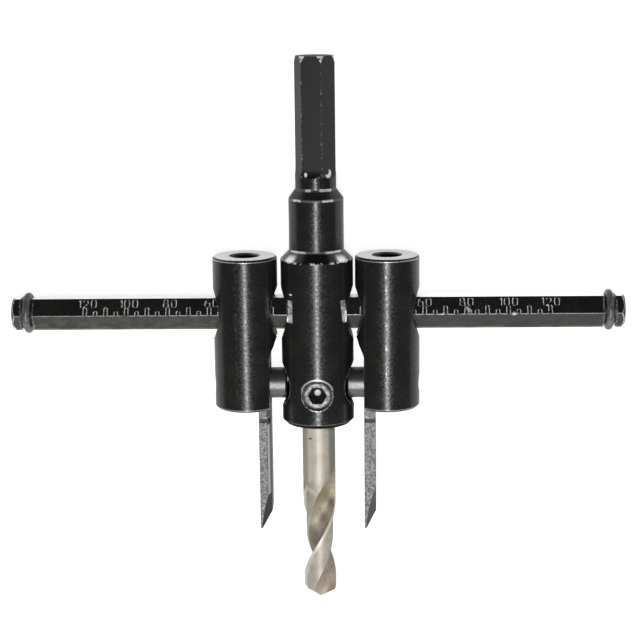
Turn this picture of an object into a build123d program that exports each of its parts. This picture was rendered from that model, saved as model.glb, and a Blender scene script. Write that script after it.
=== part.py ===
from build123d import *
from math import cos, radians, sin, sqrt, tan
import os

# Adjustable hole saw, lying on its back. X runs along the cross bar, Y along the tool axis towards
# the shank, and Z is up. Sizes are millimetres. Every piece is drawn about the tool axis, with the
# bar's centre at the origin and heights measured along Y, and lay_down() puts it on the floor.

# Body, collar and shank
body_diameter = 17.5
body_top = 13.1
body_bottom = -27.4
body_edge = 1.0
shoulder_rounding = 0.4
collar_diameter = 13.2
collar_top = 27.7
neck_bottom = 30.0
shank_diameter = 9.8
shank_across_flats = 8.45
shank_turn = 20.0
flat_end = 32.7
flat_cutter_radius = 3.5
shank_top = 61.25
shank_edge = 0.4
shank_edge_angle = 76.0

# Cross bar
bar_across_flats = 7.7
bar_length = 147.6
bar_end_edge = 0.9
bar_corner_rounding = 0.25
bar_press_clearance = 0.03
body_mouth_radius = 6.6
stake_width = 2.1
stake_place = 1.1
stake_height = 5.5
stake_depth = 0.3
stake_angle = 48.0

# Graduations, which read as the diameter of the hole
scale_first = 30
scale_last = 120
scale_step = 5
reading_edge = 6.5
tick_long = 2.1
tick_short = 1.15
tick_width = 0.75
tick_depth = 0.12

# Stop rings and their grooves
ring_section = 1.8
ring_inset = 3.65
ring_clearance = 0.04
groove_width = 2.9
groove_root_diameter = 6.2

# Holders
holder_diameter = 15.6
holder_top = 13.8
holder_bottom = -23.45
holder_edge = 0.5
holder_bore_clearance = 0.25
holder_mouth_radius = 6.4
left_gap = 0.8
right_gap = 0.4
relief_offset = 5.7
relief_cutter_diameter = 11.0
relief_centre = -11.9

# Threads are drawn plain at their mean diameter, and a screw clears its hole by thread_clearance
m8_mean_diameter = 7.2
m4_mean_diameter = 3.55
thread_clearance = 0.05
thread_edge = 0.6
socket_point_angle = 118.0

# Lock screws in the holders
lock_screw_length = 6.0
lock_screw_gap = 0.03
lock_socket = 4.0
lock_socket_depth = 3.0

# Cutters
blade_thickness = 2.85
blade_width = 8.0
blade_proud = 0.05
blade_clearance = 0.05
blade_top = -10.4
blade_top_edge = 2.0
blade_tip = -53.9
blade_heel = -50.5
blade_point_width = 0.5
blade_travel = 3.0
blade_slot_width = 4.3
blade_side_edge = 0.9
blade_grind_start = -43.4
blade_wheel_radius = 40.0
blade_wheel_bite = 0.45
blade_wheel_tilt = 35.0
blade_relief_angle = 6.0
index_height = -26.4
index_width = 1.0
index_depth = 0.35

# Cap screws that clamp the cutters, and the recesses in the body that their heads enter
clamp_height = -17.75
clamp_head_diameter = 7.5
clamp_head_height = 4.0
clamp_head_edge = 0.3
clamp_screw_length = 12.0
clamp_socket = 3.0
clamp_socket_depth = 2.0
clamp_travel = 0.7
clamp_recess_diameter = 11.4
clamp_recess_clearance = 0.1

# Pilot drill and its lock screw
drill_diameter = 8.0
drill_clearance = 0.05
drill_top = -7.2
drill_top_edge = 0.5
drill_bore_top = -6.0
drill_tip = -73.15
drill_lead = 43.5
drill_phase_height = -62.7
drill_web = 2.0
drill_land_angle = 78.0
drill_margin_width = 0.8
drill_margin_height = 0.36
drill_clearance_start = -48.8
drill_clearance_run_out = 2.9
drill_flute_start = -40.9
drill_run_out = 12.0
drill_point_angle = 118.0
drill_point_relief = 1.5
drill_screw_height = -19.1
drill_screw_length = 4.1
drill_screw_gap = 0.03
drill_screw_socket_depth = 2.4

# Working values
body_radius = body_diameter / 2
holder_radius = holder_diameter / 2
bar_corner = bar_across_flats / sqrt(3)
drill_radius = drill_diameter / 2
left_setting = body_radius + left_gap + holder_radius
right_setting = body_radius + right_gap + holder_radius
clamp_seat = relief_offset + blade_proud
far = 100.0
ground_up = (Align.CENTER, Align.CENTER, Align.MIN)


def turned(points):
    """Solid of revolution about the tool axis from (radius, height) points."""
    return revolve(make_face(Polyline(*points, close=True)), Axis.Y)


def drill_cone(base_radius, point_angle):
    """Cone of a drill's point along Z, its apex at z = 0 and its base above."""
    depth = base_radius / tan(radians(point_angle / 2))
    return Cone(0, base_radius, depth, align=ground_up)


def rod_x(radius, start, end, height=0.0):
    """Round rod along X from start to end."""
    return extrude(Plane(origin=(start, height, 0), z_dir=(1, 0, 0)) * Circle(radius), end - start)


def mouth_x(mouth_radius, surface, bore_radius, height=0.0):
    """Ninety-degree countersink on the +X side, mouth_radius wide where x is surface."""
    depth = mouth_radius - bore_radius
    start = Plane(origin=(surface - depth, height, 0), z_dir=(1, 0, 0))
    return start * Cone(bore_radius, bore_radius + 2 * depth, 2 * depth, align=ground_up)


def both_sides(tool):
    """A tool for the +X side and its copy turned round the tool axis."""
    return [tool, Rot(0, 180, 0) * tool]


def socket_cutter(across_flats, depth):
    """Hexagon recess below z = 0 with a drilled cone at its end, corners along X."""
    recess = extrude(RegularPolygon(across_flats / sqrt(3), 6), -depth)
    drilled_end = drill_cone(across_flats / 2, socket_point_angle)
    return recess + Pos(0, 0, -depth - drilled_end.bounding_box().max.Z) * drilled_end


def set_screw(length, socket_depth):
    """M8 set screw along Z, its socket face at z = 0 and its point below."""
    screw = extrude(Circle(m8_mean_diameter / 2), -length)
    ends = screw.faces().filter_by(GeomType.PLANE).edges()
    return chamfer(ends, thread_edge) - socket_cutter(lock_socket, socket_depth)


# Arbor
def flat_cutters():
    """Six milling cuts for the shank, each with a curved run-out at its lower end."""
    flat = shank_across_flats / 2
    rise = shank_diameter / 2 - flat
    wheel_height = flat_end + sqrt(2 * flat_cutter_radius * rise - rise**2)
    wheel = Pos(flat + flat_cutter_radius, wheel_height, 0) * Cylinder(flat_cutter_radius, shank_diameter)
    straight = Pos(flat, wheel_height, 0) * Box(
        2 * flat_cutter_radius, far, shank_diameter, align=(Align.MIN, Align.MIN, Align.CENTER)
    )
    return [Rot(0, shank_turn + 60 * n, 0) * (straight + wheel) for n in range(6)]


def arbor_body():
    collar_radius = collar_diameter / 2
    shank_radius = shank_diameter / 2
    outline = make_face(
        Polyline(
            (0, body_bottom),
            (body_radius - body_edge, body_bottom),
            (body_radius, body_bottom + body_edge),
            (body_radius, body_top),
            (collar_radius, body_top + body_radius - collar_radius),
            (collar_radius, collar_top),
            (shank_radius, neck_bottom),
            (shank_radius, shank_top - shank_edge * tan(radians(shank_edge_angle))),
            (shank_radius - shank_edge, shank_top),
            (0, shank_top),
            close=True,
        )
    )
    shoulders = outline.vertices().filter_by_position(Axis.Y, 0, flat_end)
    blank = revolve(fillet(shoulders, shoulder_rounding), Axis.Y)
    bar_hole = bar_corner + bar_press_clearance
    screw_hole = m8_mean_diameter / 2 + thread_clearance
    start = Plane(origin=(0, body_bottom, 0), z_dir=(0, 1, 0))
    drill_bore = extrude(start * Circle(drill_radius + drill_clearance), drill_bore_top - body_bottom)
    head_end = min(left_setting, right_setting) - clamp_seat - clamp_head_height
    recess_floor = head_end - clamp_travel - clamp_recess_clearance
    recess = rod_x(clamp_recess_diameter / 2, recess_floor, far, clamp_height)
    stake = Pos(0, stake_place, body_radius) * Box(stake_width, stake_height, 2 * stake_depth)

    cuts = [rod_x(bar_hole, -far, far), drill_bore]
    cuts += both_sides(mouth_x(body_mouth_radius, body_radius, bar_hole))
    cuts += both_sides(recess)
    cuts += [Pos(0, drill_screw_height, 0) * extrude(Circle(screw_hole), far)]
    cuts += [Rot(0, side * stake_angle, 0) * stake for side in (-1, 1)]
    return blank - cuts - flat_cutters()


# Cross bar
def scale_marks():
    """Stamped graduations, round at the top, that rise from the front corner on the bar's upper front face."""
    marks = []
    tick_end = tick_width / 2
    first_place = left_setting - reading_edge
    for reading in range(scale_first, scale_last + 1, scale_step):
        height = tick_long if reading % (2 * scale_step) == 0 else tick_short
        straight = Rectangle(tick_width, 2 * (height - tick_end))
        mark = extrude(straight + Pos(0, height - tick_end) * Circle(tick_end), tick_depth, both=True)
        for side in (-1, 1):
            place = side * (first_place + (reading - scale_first) / 2)
            marks.append(Plane(origin=(place, 0, bar_corner), x_dir=(1, 0, 0), z_dir=(0, 1, sqrt(3))) * mark)
    return marks


def scale_bar():
    half = bar_length / 2
    end = Plane(origin=(-half, 0, 0), x_dir=(0, 0, 1), z_dir=(1, 0, 0))
    hexagon = RegularPolygon(bar_corner, 6)
    hexagon = fillet(hexagon.vertices(), bar_corner_rounding)
    bar = extrude(end * hexagon, bar_length)
    outline = [
        (-half, 0),
        (-half, bar_corner - bar_end_edge),
        (bar_end_edge - half, bar_corner),
        (half - bar_end_edge, bar_corner),
        (half, bar_corner - bar_end_edge),
        (half, 0),
    ]
    bar = bar & revolve(make_face(Polyline(*outline, close=True)), Axis.X)
    groove = rod_x(bar_across_flats, -groove_width / 2, groove_width / 2)
    groove = groove - rod_x(groove_root_diameter / 2, -groove_width, groove_width)
    for side in (-1, 1):
        bar = bar - Pos(side * (half - ring_inset), 0, 0) * groove
    return bar - scale_marks()


def stop_ring(side):
    radius = groove_root_diameter / 2 + ring_clearance + ring_section / 2
    return Pos(side * (bar_length / 2 - ring_inset), 0, 0) * Rot(0, 90, 0) * Torus(radius, ring_section / 2)


# A holder and what it carries are drawn about the holder's own axis, inner side towards -X
def milled_run(width, floor, end_centre):
    """Cut of an end mill that ran up the inner side from below and stopped at end_centre."""
    outline = Pos(0, end_centre) * Circle(width / 2) + Pos(0, end_centre - far / 2) * Rectangle(width, far)
    inner_side = Plane(origin=(-floor, 0, 0), x_dir=(0, 0, 1), z_dir=(-1, 0, 0))
    return extrude(inner_side * outline, far)


def holder():
    blank = turned(
        [
            (0, holder_bottom),
            (holder_radius - holder_edge, holder_bottom),
            (holder_radius, holder_bottom + holder_edge),
            (holder_radius, holder_top - holder_edge),
            (holder_radius - holder_edge, holder_top),
            (0, holder_top),
        ]
    )
    bore = bar_corner + holder_bore_clearance
    screw_hole = m8_mean_diameter / 2 + thread_clearance
    clamp_hole = m4_mean_diameter / 2 + thread_clearance
    relief = milled_run(relief_cutter_diameter, relief_offset, relief_centre)
    groove_floor = clamp_seat - blade_thickness - blade_clearance
    groove_end = blade_top + blade_travel - blade_top_edge - blade_clearance
    groove = milled_run(blade_width + 2 * blade_clearance, groove_floor, groove_end)

    cuts = [rod_x(bore, -far, far), relief, groove]
    cuts += both_sides(mouth_x(holder_mouth_radius, holder_radius, bore))
    cuts += [extrude(Plane(origin=(0, 0, 0), z_dir=(0, 1, 0)) * Circle(screw_hole), far)]
    cuts += [rod_x(clamp_hole, -far, far, clamp_height)]
    cuts += [mouth_x(clamp_hole + thread_edge, holder_radius, clamp_hole, clamp_height)]
    return blank - cuts


def lock_screw():
    """Set screw down the holder's top, its point on the bar's upper flat."""
    top = bar_across_flats / 2 + lock_screw_gap + lock_screw_length
    return Pos(0, top, 0) * Rot(-90, 0, 0) * set_screw(lock_screw_length, lock_socket_depth)


def clamp_screw():
    """Cap screw whose head clamps the cutter from the inner side."""
    seat = -clamp_seat
    head = rod_x(clamp_head_diameter / 2, seat - clamp_head_height, seat)
    head = chamfer(head.faces().sort_by(Axis.X)[0].edges(), clamp_head_edge)
    shank = rod_x(m4_mean_diameter / 2, seat, seat + clamp_screw_length)
    shank = chamfer(shank.faces().sort_by(Axis.X)[-1].edges(), thread_edge)
    recess = socket_cutter(clamp_socket, clamp_socket_depth)
    socket = Pos(seat - clamp_head_height, 0, 0) * Rot(0, -90, 0) * recess
    return Pos(0, clamp_height, 0) * (head + shank - socket)


def point_grind():
    """What grinding takes off a cutter's end, about the cutter's own axis, point towards -X.

    The wheel's axis leans over the cutter's front, so across the cutter the wheel's circle is narrowed.
    """
    half = blade_thickness / 2
    front = blade_width / 2
    end_cut = make_face(
        Polyline(
            (-half - far, blade_tip),
            (blade_point_width - half, blade_tip),
            (half, blade_heel),
            (half + far, blade_heel),
            (half + far, blade_tip - far),
            (-half - far, blade_tip - far),
            close=True,
        )
    )
    end_cut = Pos(0, 0, -far / 2) * extrude(end_cut, far)

    narrowing = cos(radians(blade_wheel_tilt))
    chord_start = Vector(half * narrowing, blade_grind_start)
    chord_end = Vector((blade_point_width - half) * narrowing, blade_tip)
    chord = chord_end - chord_start
    outward = Vector(-chord.Y, chord.X).normalized()
    centre = (chord_start + chord_end) * 0.5 + outward * (blade_wheel_radius - blade_wheel_bite)
    wheel = Rot(0, -blade_wheel_tilt, 0) * Cylinder(blade_wheel_radius, 2 * far)
    return end_cut, Pos(centre.X / narrowing, centre.Y, front) * wheel


def blade(turn):
    """Cutter with a clamping slot, which cuts with its front edge. turn sets which side its point is on."""
    half_width = blade_width / 2
    centre = blade_thickness / 2 - clamp_seat
    outline = make_face(
        Polyline(
            (-half_width, blade_tip - blade_width),
            (half_width, blade_tip - blade_width),
            (half_width, blade_top - blade_top_edge),
            (half_width - blade_top_edge, blade_top),
            (blade_top_edge - half_width, blade_top),
            (-half_width, blade_top - blade_top_edge),
            close=True,
        )
    )
    strip = extrude(Rot(0, 90, 0) * outline, blade_thickness / 2, both=True)
    slot_length = 2 * blade_travel + blade_slot_width
    slot = Pos(0, clamp_height, 0) * Rot(0, 90, 0) * Rot(0, 0, 90) * SlotOverall(slot_length, blade_slot_width)
    strip = strip - extrude(slot, blade_thickness, both=True)
    notch = Box(blade_thickness * 2, index_width, 2 * index_depth)
    strip = strip - [Pos(0, index_height, face * half_width) * notch for face in (-1, 1)]
    side_edge = Pos(-blade_thickness / 2, 0, -half_width) * Rot(0, 45, 0) * Box(
        blade_side_edge * sqrt(2), far * 2, blade_side_edge * sqrt(2)
    )
    strip = strip - side_edge

    end_cut, wheel = point_grind()
    relief = Rot(blade_relief_angle, 0, 0)
    relieved_end = Pos(0, blade_tip, half_width) * relief * Pos(0, -blade_tip, 0) * end_cut
    ground = Rot(0, turn, 0) * strip - relieved_end - wheel
    return Pos(centre, 0, 0) * Rot(0, -turn, 0) * ground


# Pilot drill
def drill_section():
    """Two-flute section at the phase height, lands along the sketch's y axis."""
    land_half = radians(drill_land_angle / 2)
    web = drill_web / 2
    flute_centre = (drill_radius**2 - web**2) / (2 * (drill_radius * sin(land_half) - web))
    flute = Pos(flute_centre, 0) * Circle(flute_centre - web)
    return Circle(drill_radius) - flute - Rot(0, 0, 180) * flute


def clearance_section():
    """What a land loses behind its margin at the phase height, from the margin into the flute behind."""
    land_half = radians(drill_land_angle / 2)
    margin_angle = drill_margin_width / drill_radius
    reach = 2 * drill_radius
    from_angle, to_angle = land_half - margin_angle, -land_half - margin_angle
    margin_side = (reach * sin(from_angle), reach * cos(from_angle))
    flute_side = (reach * sin(to_angle), reach * cos(to_angle))
    sector = make_face(Polyline((0, 0), margin_side, flute_side, close=True))
    outer = Circle(drill_radius + drill_margin_height)
    return (outer & sector) - Circle(drill_radius - drill_margin_height)


def twisted(section, start, end):
    """Solid that a section swept up the drill's helix makes from start to end."""
    length = end - start
    base = Plane(origin=(0, start, 0), x_dir=(1, 0, 0), z_dir=(0, 1, 0))
    turned_section = Rot(0, 360 * (start - drill_phase_height) / drill_lead, 0) * (base * section)
    return Solid.extrude_linear_with_rotation(
        turned_section.face(), center=(0, start, 0), normal=(0, length, 0), angle=360 * length / drill_lead
    )


def land_clearances():
    """The two helical cuts behind the margins, which run out on a cone below the drill's shank."""
    cleared = drill_radius - drill_margin_height
    run_out_end = drill_clearance_start - drill_clearance_run_out
    cone_top = drill_clearance_start + 2 * drill_clearance_run_out
    cone_rim = drill_radius + 2 * drill_margin_height
    cone = turned([(0, run_out_end), (cleared, run_out_end), (cone_rim, cone_top), (0, cone_top)])
    cut = twisted(clearance_section(), drill_tip - drill_radius, cone_top) - cone
    return [cut, Rot(0, 180, 0) * cut]


def pilot_drill():
    fluted = twisted(drill_section(), drill_tip, drill_flute_start)
    web = drill_web / 2
    depth = drill_radius - web
    wheel = (depth**2 + drill_run_out**2) / (2 * depth)
    run_out_end = drill_flute_start - drill_run_out
    middle_height = run_out_end + drill_run_out / 2
    middle_radius = web + wheel - sqrt(wheel**2 - (drill_run_out / 2) ** 2)
    outline = (
        Polyline((web, run_out_end), (0, run_out_end), (0, drill_top), (drill_radius - drill_top_edge, drill_top))
        + Line((drill_radius - drill_top_edge, drill_top), (drill_radius, drill_top - drill_top_edge))
        + Line((drill_radius, drill_top - drill_top_edge), (drill_radius, drill_flute_start))
        + ThreePointArc((drill_radius, drill_flute_start), (middle_radius, middle_height), (web, run_out_end))
    )
    shank = revolve(make_face(outline), Axis.Y)
    drill = shank + fluted - land_clearances()

    turn_at_tip = 360 * (drill_tip - drill_phase_height) / drill_lead
    lip_turn = turn_at_tip - drill_land_angle / 2 - 90
    slope = 1 / tan(radians(drill_point_angle / 2))
    apex = drill_tip - slope * drill_point_relief
    cone = Pos(0, apex, drill_point_relief) * Rot(-90, 0, 0) * drill_cone(2 * drill_diameter, drill_point_angle)
    reach = slope * drill_diameter
    half_space = Pos(0, apex, 0) * Box(far, reach, far, align=(Align.CENTER, Align.MIN, Align.MAX))
    flank = half_space - cone
    return drill - [Rot(0, lip_turn + half_turn, 0) * flank for half_turn in (0, 180)]


def drill_lock_screw():
    """Set screw in the body's front, its point on the drill's shank."""
    face = drill_radius + drill_screw_gap + drill_screw_length
    return Pos(0, drill_screw_height, face) * set_screw(drill_screw_length, drill_screw_socket_depth)


# Assembly
def assembly():
    right = Pos(right_setting, 0, 0)
    left = Pos(-left_setting, 0, 0) * Rot(0, 180, 0)
    pieces = {
        "arbor_body": arbor_body(),
        "scale_bar": scale_bar(),
        "left_stop_ring": stop_ring(-1),
        "right_stop_ring": stop_ring(1),
        "pilot_drill": pilot_drill(),
        "drill_lock_screw": drill_lock_screw(),
    }
    for name, place, turn in (("right", right, 0), ("left", left, 180)):
        pieces[f"{name}_holder"] = place * holder()
        pieces[f"{name}_lock_screw"] = place * lock_screw()
        pieces[f"{name}_blade"] = place * blade(turn)
        pieces[f"{name}_blade_screw"] = place * clamp_screw()
    return pieces


def lay_down(piece):
    """Put a piece on the floor, with the middle of the whole tool's length at y = 0."""
    return Pos(0, -(shank_top + drill_tip) / 2, body_radius) * piece


os.makedirs("parts", exist_ok=True)
for name, piece in assembly().items():
    export_step(lay_down(piece), f"parts/{name}.step")
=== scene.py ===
"""Studio scene of a twin-cutter adjustable hole saw that lies on its back on a white floor.

Lengths are millimetres in the tool's own frame: X along the cross bar, Y along the tool axis towards
the shank, Z up towards the camera, with the origin where the bar's and the tool's axes cross. A mesh
is worked out there as numpy arrays and turned into metres in the row frame as it is written.
"""

import math

import bpy
import numpy as np
from mathutils import Matrix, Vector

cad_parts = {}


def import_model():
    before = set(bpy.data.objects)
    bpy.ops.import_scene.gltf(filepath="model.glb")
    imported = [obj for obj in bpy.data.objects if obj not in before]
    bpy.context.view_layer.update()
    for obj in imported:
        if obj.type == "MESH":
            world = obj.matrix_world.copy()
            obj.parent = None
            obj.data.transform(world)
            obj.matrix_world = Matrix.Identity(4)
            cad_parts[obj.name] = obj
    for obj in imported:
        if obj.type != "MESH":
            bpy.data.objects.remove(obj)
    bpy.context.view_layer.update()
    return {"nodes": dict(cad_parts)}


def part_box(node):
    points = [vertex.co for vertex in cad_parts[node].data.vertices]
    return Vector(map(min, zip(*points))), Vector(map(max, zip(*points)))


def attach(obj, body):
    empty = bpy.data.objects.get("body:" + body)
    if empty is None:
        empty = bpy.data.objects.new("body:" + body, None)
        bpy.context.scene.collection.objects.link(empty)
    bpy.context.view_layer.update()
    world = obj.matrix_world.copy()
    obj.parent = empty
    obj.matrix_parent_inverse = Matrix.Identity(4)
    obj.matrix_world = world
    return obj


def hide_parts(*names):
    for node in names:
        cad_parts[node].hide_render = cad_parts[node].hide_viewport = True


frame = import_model()


# Places read from the frame
def span(node, axis):
    """Lowest and highest coordinate of a node along one axis, in millimetres of the row frame."""
    low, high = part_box(node)
    return low[axis] * 1000, high[axis] * 1000


bar_low, bar_high = span("scale_bar", 1)
body_floor, body_front = span("arbor_body", 2)
axis_height = (body_floor + body_front) / 2
origin = np.array([0.0, (bar_low + bar_high) / 2, axis_height])


def tool_span(node, axis):
    """The same in the tool frame."""
    low, high = span(node, axis)
    return low - origin[axis], high - origin[axis]


def middle(node, axis):
    """Middle of a node along one axis of the tool frame."""
    low, high = tool_span(node, axis)
    return (low + high) / 2


body_radius = (body_front - body_floor) / 2
bar_across_flats = bar_high - bar_low
bar_corner = bar_across_flats / math.sqrt(3)
bar_half_length = tool_span("scale_bar", 0)[1]
body_bottom, shank_top = tool_span("arbor_body", 1)
holder_x = {side: middle(f"{side}_holder", 0) for side in ("left", "right")}
holder_bottom, holder_top = tool_span("left_holder", 1)
holder_radius = tool_span("left_holder", 2)[1]

# Camera, from the photograph
image_pixels = 640
focal_pixels = 1652.0
camera_distance = 400.0
camera_tilt = 12.3
camera_yaw = 1.7
camera_roll = 0.69
bar_centre_pixel = (317.25, 311.1)


def tool_point(x, y, z):
    """A tool-frame point in metres of the row frame."""
    return (np.array([x, y, z]) + origin) / 1000


def camera():
    """Camera on the front side, tilted towards the shank. Its place puts the bar's centre on its pixel."""
    yaw, tilt, roll = (math.radians(a) for a in (camera_yaw, camera_tilt, camera_roll))
    back = np.array([math.sin(yaw) * math.cos(tilt), math.sin(tilt), math.cos(yaw) * math.cos(tilt)])
    level_right = np.array([math.cos(yaw), 0.0, -math.sin(yaw)])
    level_up = np.cross(back, level_right)
    right = level_right * math.cos(roll) - level_up * math.sin(roll)
    up = level_up * math.cos(roll) + level_right * math.sin(roll)
    aside = (bar_centre_pixel[0] - image_pixels / 2) / focal_pixels
    above = (image_pixels / 2 - bar_centre_pixel[1]) / focal_pixels
    place = camera_distance * (back - right * aside - up * above)

    data = bpy.data.cameras.new("camera")
    data.sensor_width = 36.0
    data.lens = data.sensor_width * focal_pixels / image_pixels
    data.clip_start, data.clip_end = 0.01, 10.0
    obj = bpy.data.objects.new("camera", data)
    matrix = np.identity(4)
    matrix[:3, 0], matrix[:3, 1], matrix[:3, 2] = right, up, back
    matrix[:3, 3] = tool_point(*place)
    obj.matrix_world = Matrix(matrix.tolist())
    bpy.context.scene.collection.objects.link(obj)
    bpy.context.scene.camera = obj


# Shader writing
class Value:
    """One number or colour in a shader. Python's operators on it add Math nodes."""

    def __init__(self, shader, socket):
        self.shader = shader
        self.socket = socket

    def math(self, operation, *others):
        return self.shader.math(operation, self, *others)

    def __add__(self, other):
        return self.math("ADD", other)

    def __radd__(self, other):
        return self.shader.math("ADD", other, self)

    def __sub__(self, other):
        return self.math("SUBTRACT", other)

    def __rsub__(self, other):
        return self.shader.math("SUBTRACT", other, self)

    def __mul__(self, other):
        return self.math("MULTIPLY", other)

    def __rmul__(self, other):
        return self.shader.math("MULTIPLY", other, self)

    def __truediv__(self, other):
        return self.math("DIVIDE", other)

    def __rtruediv__(self, other):
        return self.shader.math("DIVIDE", other, self)

    def __pow__(self, other):
        return self.math("POWER", other)

    def __neg__(self):
        return self.math("MULTIPLY", -1.0)

    def __abs__(self):
        return self.math("ABSOLUTE")

    def __lt__(self, other):
        return self.math("LESS_THAN", other)

    def __gt__(self, other):
        return self.math("GREATER_THAN", other)

    def either(self, other):
        """The greater of two values, which joins two masks."""
        return self.math("MAXIMUM", other)

    def ramp(self, start, end):
        """0 up to start and 1 from end on, with a smooth rise between. End may be the lower."""
        settings = {"interpolation_type": "SMOOTHSTEP"}
        inputs = {"Value": self, "From Min": start, "From Max": end}
        return self.shader.node("ShaderNodeMapRange", settings, inputs)

    def near(self, centre, half_width, soft):
        """1 within half_width of centre, falling to 0 over soft."""
        return abs(self - centre).ramp(half_width + soft, half_width)


class Shader:
    """The node tree of a material or of the world, written by calls."""

    def __init__(self, owner):
        owner.use_nodes = True
        self.tree = owner.node_tree
        self.tree.nodes.clear()

    def node(self, kind, settings=None, inputs=None, output=0):
        """Adds a node: its settings first, then the values or links of its sockets."""
        made = self.tree.nodes.new(kind)
        for name, value in (settings or {}).items():
            setattr(made, name, value)
        for name, value in (inputs or {}).items():
            if isinstance(value, Value):
                self.tree.links.new(value.socket, made.inputs[name])
            else:
                made.inputs[name].default_value = value
        return None if output is None else Value(self, made.outputs[output])

    def math(self, operation, *values):
        return self.node("ShaderNodeMath", {"operation": operation}, dict(enumerate(values)))

    def vector(self, operation, *values):
        return self.node("ShaderNodeVectorMath", {"operation": operation}, dict(enumerate(values)))

    def tool_position(self):
        """Object coordinates as millimetres of the tool frame."""
        metres = self.node("ShaderNodeTexCoord", output="Object")
        return self.vector("SUBTRACT", self.vector("MULTIPLY", metres, (1000.0,) * 3), tuple(origin))

    def split(self, vector):
        """The three coordinates of a vector."""
        kind = "ShaderNodeSeparateXYZ"
        return [self.node(kind, inputs={"Vector": vector}, output=axis) for axis in range(3)]

    def seen_rays(self):
        """Two values: 1 for rays from the camera, and 1 for those reflected or let through."""
        kinds = ("Is Camera Ray", "Is Glossy Ray", "Is Transmission Ray")
        camera_ray, glossy_ray, passed_ray = [self.node("ShaderNodeLightPath", output=kind) for kind in kinds]
        return camera_ray, glossy_ray.either(passed_ray)

    def noise(self, position, scale, detail=2.0, roughness=0.5, stretch=(1.0, 1.0, 1.0)):
        """Noise of that many waves a millimetre, stretched along an axis by a small number there."""
        place = self.vector("MULTIPLY", position, stretch)
        inputs = {"Vector": place, "Scale": scale, "Detail": detail, "Roughness": roughness}
        return self.node("ShaderNodeTexNoise", inputs=inputs, output="Fac")

    def mix(self, factor, first, second):
        """Colour that goes from first to second as factor goes from 0 to 1."""
        settings = {"data_type": "RGBA"}
        return self.node("ShaderNodeMix", settings, {0: factor, 6: first, 7: second}, output=2)

    def surface(self, fixed, varying):
        """Principled surface: plain numbers that hold all over, and values that change over it."""
        shader = self.node("ShaderNodeBsdfPrincipled", inputs={**fixed, **varying})
        self.node("ShaderNodeOutputMaterial", inputs={"Surface": shader}, output=None)

    def bump(self, height, distance, normal=None):
        """Normal bent by height, whose full range is distance millimetres deep."""
        inputs = {"Height": height, "Distance": distance / 1000}
        if normal is not None:
            inputs["Normal"] = normal
        return self.node("ShaderNodeBump", inputs=inputs)


def grey(level):
    """Colour of an 8-bit grey level, in the linear values that shaders take."""
    return rgb(level, level, level)


def rgb(red, green, blue):
    """Colour of three 8-bit levels, in the linear values that shaders take."""
    share = [c / 255 for c in (red, green, blue)]
    return tuple(c / 12.92 if c <= 0.04045 else ((c + 0.055) / 1.055) ** 2.4 for c in share) + (1.0,)


# Features of the pieces that the finishes follow
body_top = 13.1
body_edge = 1.0
collar_radius = 6.6
shoulder_top = body_top + body_radius - collar_radius
neck_span = (27.7, 30.0)
shank_radius = 4.9
shank_edge = 0.4
shank_edge_slope = math.tan(math.radians(76.0))
flat_end = 32.7
body_mouth_radius = 6.6
clamp_height = middle("left_blade_screw", 1)
clamp_recess_radius = 5.7
drill_screw_height = middle("drill_lock_screw", 1)
# Bright patches beside the bar's hole: painted reflection of the bar and the holder in the body.
reflection_patch_angle = math.radians(48.0)
reflection_patch_half = (1.05, 2.75)
reflection_patch_place = 1.1
holder_mouth_radius = 6.4
holder_edge = 0.5
holder_thread_pitch = 1.25
mean_thread_radius = tool_span("left_lock_screw", 2)[1]
bar_half_flats = bar_across_flats / 2
bar_end_edge = 0.9
ring_inset = 3.65
groove_width = 2.9
index_height = -26.4
blade_side_edge = 0.9
drill_tip, drill_top = tool_span("pilot_drill", 1)
drill_radius = tool_span("pilot_drill", 2)[1]
drill_lead = 43.5
drill_margin_height = -57.1
drill_margin_angle = 13.5
drill_land_angle = 85.0

# Points of the cutters, and the wheel that ground them hollow
blade_tip = -53.9
blade_grind_start = -43.4
blade_point_width = 0.5
blade_wheel_radius = 40.0
blade_wheel_bite = 0.45
blade_wheel_tilt = math.radians(35.0)


def blade_wheel(side):
    """Where the wheel that ground a cutter's facet had its axis.

    The wheel's axis lies outward of the chord from the grind's start to the point, at its radius
    less its bite from the chord's middle, at the cutter's front edge. It leans by the tilt, so its
    circle is drawn with the sizes across the cutter narrowed by the tilt's cosine.
    """
    low, high = tool_span(f"{side}_blade", 0)
    front = tool_span(f"{side}_blade", 2)[1]
    narrowing = math.cos(blade_wheel_tilt)
    start = np.array([high * narrowing, blade_grind_start])
    end = np.array([(low + blade_point_width) * narrowing, blade_tip])
    chord = end - start
    outward = np.array([-chord[1], chord[0]]) / np.hypot(*chord)
    centre = (start + end) / 2 + outward * (blade_wheel_radius - blade_wheel_bite)
    place = centre[0] / narrowing
    return {"x": place, "y": centre[1], "z": front, "tilt": blade_wheel_tilt, "radius": blade_wheel_radius}


# Wear, painted highlights and painted reflections on the body: ellipses as place and half size, dashes as
# place across and half width
right_crescent_highlight = ((3.1, flat_end + 1.1), (0.7, 1.0))
right_crescent_highlight_hollow = ((2.75, flat_end + 1.6), (0.55, 0.8))
left_crescent_highlight = ((-2.2, flat_end + 0.9), (0.35, 0.5))
body_nick = ((-6.1, 5.3), (0.35, 0.22))
collar_highlight_dashes = ((-4.4, 0.8), (3.0, 1.1))
neck_highlight_dashes = ((2.4, 1.2), (-1.7, 0.5))
hexagon_corner_wear_and_highlights = (4.72, 4.84)
# The right one of the painted reflection patches beside the bar's hole.
right_reflection_patch_half_width = 0.72
right_reflection_patch_shift = 0.3
right_reflection_patch_lean = 0.144

# Wear, painted highlights and painted light on the other pieces
bare_steel = grey(205)
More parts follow.
